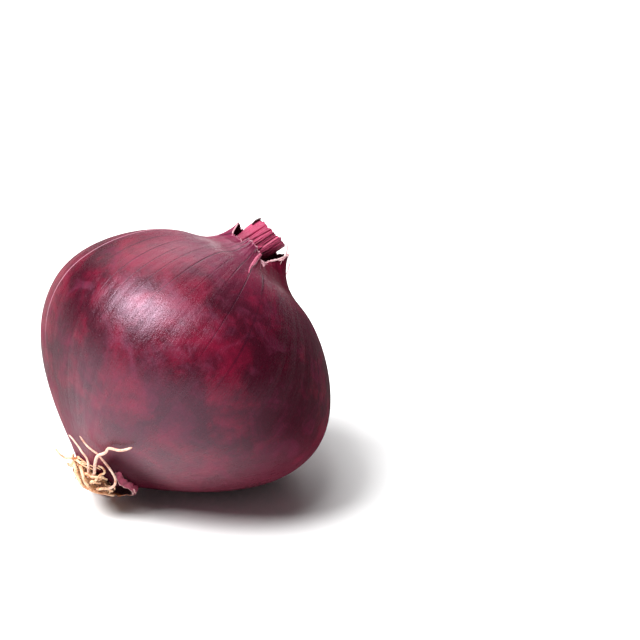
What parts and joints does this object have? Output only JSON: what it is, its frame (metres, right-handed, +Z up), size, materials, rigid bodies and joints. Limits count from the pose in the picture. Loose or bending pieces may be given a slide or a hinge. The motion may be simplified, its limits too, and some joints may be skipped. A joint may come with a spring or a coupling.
{
  "type": "red onion",
  "caption": "Whole red onion lying on its side, with a dry root tuft at one end and a cut, torn neck at the other.",
  "frame": {"origin": "middle of the flat spot on the bulb's belly, on the surface that the onion rests on", "axes": "+Z up; the onion's axis lies in the XZ plane, roots low towards -X and neck high towards +X, 44 degrees above the surface; +Y to the left of an eye that looks from the roots to the neck"},
  "size_m": [0.0744, 0.084, 0.0725],
  "materials": {
    "skin": "satin",
    "dry_leaf": "matte",
    "dark_flake": "matte",
    "torn_skin": "matte",
    "fibre": "matte",
    "root_plate": "matte",
    "roots": "matte"
  },
  "bodies": {
    "root": {"bulb": "skin", "neck_stub": "dry_leaf", "stub_flake": "dark_flake", "collar_fold": "torn_skin", "skin_thread_1": "fibre", "skin_thread_2": "fibre", "skin_thread_3": "fibre", "root_plate": "root_plate", "root_skirt": "torn_skin", "root_01": "roots", "root_02": "roots", "root_03": "roots", "root_04": "roots", "root_05": "roots", "root_06": "roots", "root_07": "roots", "root_08": "roots", "root_09": "roots", "root_10": "roots", "root_11": "roots", "root_12": "roots", "root_13": "roots", "root_14": "roots", "root_15": "roots"}
  },
  "joints": []
}
